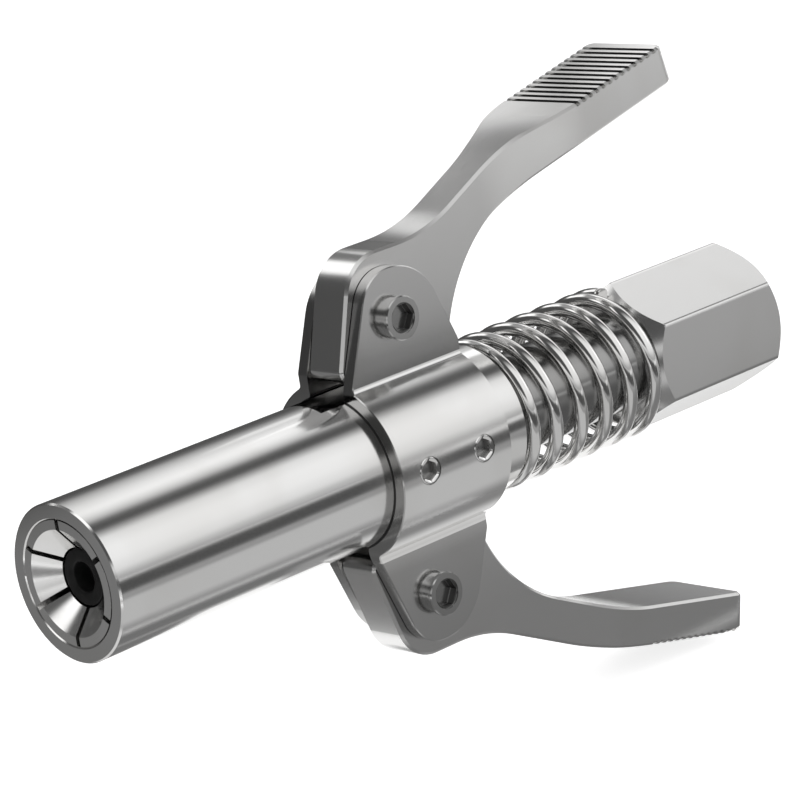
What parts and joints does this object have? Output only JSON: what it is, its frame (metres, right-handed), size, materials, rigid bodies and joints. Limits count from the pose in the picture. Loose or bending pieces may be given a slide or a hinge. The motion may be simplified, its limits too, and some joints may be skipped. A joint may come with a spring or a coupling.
{
  "type": "grease coupler",
  "caption": "Locking grease coupler: a collet nose in a sprung sleeve that squeeze levers draw back, with a check valve and a hexagon inlet threaded for a grease hose.",
  "frame": {"origin": "centre of the hose thread's mouth, on the rear face of the hexagon", "axes": "+X along the grease passage from the nose towards the hose; +Z in the plane of the levers, towards the upper lever; +Y away from the pivots' tapped barrels' heads"},
  "size_m": [0.1075, 0.0212, 0.074],
  "materials": {
    "plated_steel": "bright nickel plate",
    "plated_plate": "nickel-plated bent plate with rolled edges",
    "plated_lever": "nickel-plated forged steel with bright bevels",
    "plated_screw": "plated screw steel",
    "satin_steel": "turned steel",
    "jaw_steel": "hardened steel, ground",
    "spring_steel": "plated spring wire",
    "ball_steel": "polished",
    "black_rubber": "moulded"
  },
  "bodies": {
    "root": {"inlet_body": "plated_steel", "stem": "satin_steel", "valve_seat": "satin_steel", "guide_bush": "satin_steel", "main_spring": "spring_steel", "piston_spring": "spring_steel", "ball_spring": "spring_steel"},
    "sleeve": {"outer_sleeve": "plated_steel", "clamp_half_near": "plated_plate", "clamp_half_far": "plated_plate", "set_screws": "plated_screw", "pivot_barrel_top": "plated_screw", "pivot_barrel_bottom": "plated_screw", "pivot_screw_top": "plated_screw", "pivot_screw_bottom": "plated_screw"},
    "top_lever": {"lever_top": "plated_lever"},
    "bottom_lever": {"lever_bottom": "plated_lever"},
    "seal_body": {"seal": "black_rubber", "seal_piston": "satin_steel"},
    "ball": {"check_ball": "ball_steel"},
    "jaw_1_body": {"jaw_1": "jaw_steel"},
    "jaw_2_body": {"jaw_2": "jaw_steel"},
    "jaw_3_body": {"jaw_3": "jaw_steel"},
    "jaw_4_body": {"jaw_4": "jaw_steel"},
    "jaw_5_body": {"jaw_5": "jaw_steel"},
    "jaw_6_body": {"jaw_6": "jaw_steel"}
  },
  "joints": [
    {"name": "sleeve_slide", "type": "slide", "parent": "root", "child": "sleeve", "axis": [1, 0, 0], "range_m": [0, 0.0032], "stiffness_N_per_m": 3000, "springref_m": -0.008, "deforming": ["main_spring"]},
    {"name": "lever_top_pivot", "type": "hinge", "parent": "sleeve", "child": "top_lever", "pos_m": [-0.05955, 0, 0.0164], "axis": [0, 1, 0], "range_deg": [0, 17.3]},
    {"name": "lever_bottom_pivot", "type": "hinge", "parent": "sleeve", "child": "bottom_lever", "pos_m": [-0.05955, 0, -0.0164], "axis": [0, 1, 0], "range_deg": [-17.3, 0]},
    {"name": "seal_slide", "type": "slide", "parent": "root", "child": "seal_body", "axis": [1, 0, 0], "range_m": [0, 0.0025], "stiffness_N_per_m": 400, "springref_m": -0.004, "deforming": ["piston_spring"]},
    {"name": "ball_slide", "type": "slide", "parent": "root", "child": "ball", "axis": [-1, 0, 0], "range_m": [0, 0.0012], "stiffness_N_per_m": 50, "springref_m": -0.002, "deforming": ["ball_spring"]},
    {"name": "jaw_1_tilt", "type": "hinge", "parent": "root", "child": "jaw_1_body", "pos_m": [-0.0902, 0.0056, 0], "axis": [0, 0, -1], "range_deg": [0, 2.2]},
    {"name": "jaw_2_tilt", "type": "hinge", "parent": "root", "child": "jaw_2_body", "pos_m": [-0.0902, 0.0028, 0.00485], "axis": [0, 0.866, -0.5], "range_deg": [0, 2.2]},
    {"name": "jaw_3_tilt", "type": "hinge", "parent": "root", "child": "jaw_3_body", "pos_m": [-0.0902, -0.0028, 0.00485], "axis": [0, 0.866, 0.5], "range_deg": [0, 2.2]},
    {"name": "jaw_4_tilt", "type": "hinge", "parent": "root", "child": "jaw_4_body", "pos_m": [-0.0902, -0.0056, 0], "axis": [0, 0, 1], "range_deg": [0, 2.2]},
    {"name": "jaw_5_tilt", "type": "hinge", "parent": "root", "child": "jaw_5_body", "pos_m": [-0.0902, -0.0028, -0.00485], "axis": [0, -0.866, 0.5], "range_deg": [0, 2.2]},
    {"name": "jaw_6_tilt", "type": "hinge", "parent": "root", "child": "jaw_6_body", "pos_m": [-0.0902, 0.0028, -0.00485], "axis": [0, -0.866, -0.5], "range_deg": [0, 2.2]}
  ],
  "couplings": [
    {"joint": "lever_top_pivot", "follows": "sleeve_slide", "rad_per_m": 94.004},
    {"joint": "lever_bottom_pivot", "follows": "sleeve_slide", "rad_per_m": -94.004},
    {"joint": "jaw_1_tilt", "follows": "sleeve_slide", "rad_per_m": 11.72},
    {"joint": "jaw_2_tilt", "follows": "sleeve_slide", "rad_per_m": 11.72},
    {"joint": "jaw_3_tilt", "follows": "sleeve_slide", "rad_per_m": 11.72},
    {"joint": "jaw_4_tilt", "follows": "sleeve_slide", "rad_per_m": 11.72},
    {"joint": "jaw_5_tilt", "follows": "sleeve_slide", "rad_per_m": 11.72},
    {"joint": "jaw_6_tilt", "follows": "sleeve_slide", "rad_per_m": 11.72}
  ]
}
